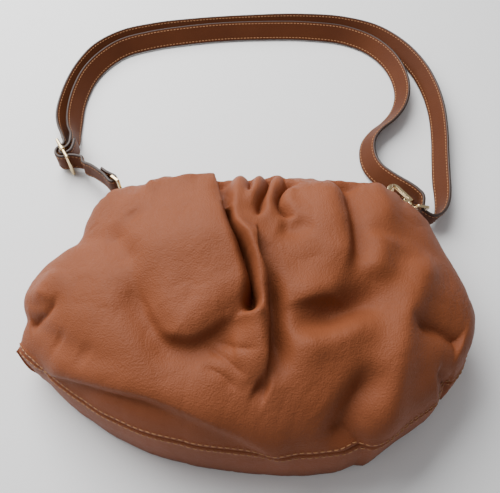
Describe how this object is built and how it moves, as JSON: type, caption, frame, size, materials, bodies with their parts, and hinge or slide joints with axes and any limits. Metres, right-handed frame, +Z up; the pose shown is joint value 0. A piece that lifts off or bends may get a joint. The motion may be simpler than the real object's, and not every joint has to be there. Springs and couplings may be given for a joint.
{
  "type": "hobo shoulder bag",
  "caption": "Slouchy gathered leather hobo bag resting on its back, with a hinged magnetic mouth frame and a detachable, adjustable shoulder strap on swivel snap hooks.",
  "frame": {"origin": "on the flat resting face of the back panel, half way along the bag's width and half way from the base to the mouth edge", "axes": "+X across the mouth, +Y from the base to the mouth and on to the strap, +Z up from the back panel"},
  "size_m": [0.3909, 0.4861, 0.097],
  "materials": {
    "body_leather": "soft satin nappa with fine grain",
    "strap_leather": "smooth satin with dark painted edges",
    "tab_leather": "soft satin nappa",
    "lining_fabric": "plain woven cotton twill",
    "frame_steel": "plated spring steel",
    "magnet_plate": "bright nickel plate",
    "gold_hardware": "polished pale gold plate"
  },
  "bodies": {
    "bag": {"front_panel": "body_leather", "back_panel": "body_leather", "base_panel": "body_leather", "back_gather": "body_leather", "lining": "lining_fabric", "back_frame": "frame_steel", "frame_pins": "frame_steel", "back_magnets": "magnet_plate", "left_ring_tab": "tab_leather", "right_ring_tab": "tab_leather"},
    "mouth": {"front_gather": "body_leather", "front_frame": "frame_steel", "front_magnets": "magnet_plate"},
    "left_ring_body": {"left_ring": "gold_hardware"},
    "right_ring_body": {"right_ring": "gold_hardware"},
    "strap_body": {"strap": "strap_leather", "left_hook_eye": "gold_hardware", "right_hook_eye": "gold_hardware"},
    "left_hook": {"left_hook_body": "gold_hardware", "left_gate_pin": "gold_hardware"},
    "right_hook": {"right_hook_body": "gold_hardware", "right_gate_pin": "gold_hardware"},
    "left_gate": {"left_hook_gate": "gold_hardware"},
    "right_gate": {"right_hook_gate": "gold_hardware"},
    "slider": {"slider_frame": "gold_hardware", "slider_bar": "gold_hardware"}
  },
  "joints": [
    {"name": "frame_hinge", "type": "hinge", "parent": "bag", "child": "mouth", "pos_m": [0, 0.067, 0.033], "axis": [1, 0, 0], "range_deg": [0, 75]},
    {"name": "strap_swing", "type": "hinge", "parent": "bag", "child": "strap_body", "pos_m": [-0.1123, 0.1086, 0.02], "axis": [0.9991, 0.0435, 0], "range_deg": [0, 62]},
    {"name": "left_ring_swing", "type": "hinge", "parent": "bag", "child": "left_ring_body", "pos_m": [-0.1123, 0.1086, 0.02], "axis": [0.9991, 0.0435, 0], "range_deg": [0, 62], "deforming": ["left_ring_tab"]},
    {"name": "right_ring_swing", "type": "hinge", "parent": "bag", "child": "right_ring_body", "pos_m": [-0.1123, 0.1086, 0.02], "axis": [0.9991, 0.0435, 0], "range_deg": [0, 62], "deforming": ["right_ring_tab"]},
    {"name": "left_hook_swivel", "type": "hinge", "parent": "strap_body", "child": "left_hook", "pos_m": [-0.11625, 0.13057, 0.02], "axis": [-0.766, 0.6428, 0], "range_deg": [-15, 15]},
    {"name": "left_gate_open", "type": "hinge", "parent": "left_hook", "child": "left_gate", "pos_m": [-0.10664, 0.12864, 0.02], "axis": [0, 0, -1], "range_deg": [0, 20], "stiffness_Nm_per_rad": 0.02, "springref_deg": -5.73},
    {"name": "right_hook_swivel", "type": "hinge", "parent": "strap_body", "child": "right_hook", "pos_m": [0.1457, 0.11152, 0.02], "axis": [0.6115, -0.7912, 0], "range_deg": [-15, 15]},
    {"name": "right_gate_open", "type": "hinge", "parent": "right_hook", "child": "right_gate", "pos_m": [0.13673, 0.11545, 0.02], "axis": [0, 0, -1], "range_deg": [0, 20], "stiffness_Nm_per_rad": 0.02, "springref_deg": -5.73},
    {"name": "slider_turn", "type": "hinge", "parent": "strap_body", "child": "slider", "pos_m": [-0.176, 0.1733, 0], "axis": [0, 0, 1], "range_deg": [-4, 4]}
  ],
  "couplings": [
    {"joint": "left_ring_swing", "follows": "strap_swing", "ratio": 1},
    {"joint": "right_ring_swing", "follows": "strap_swing", "ratio": 1}
  ]
}
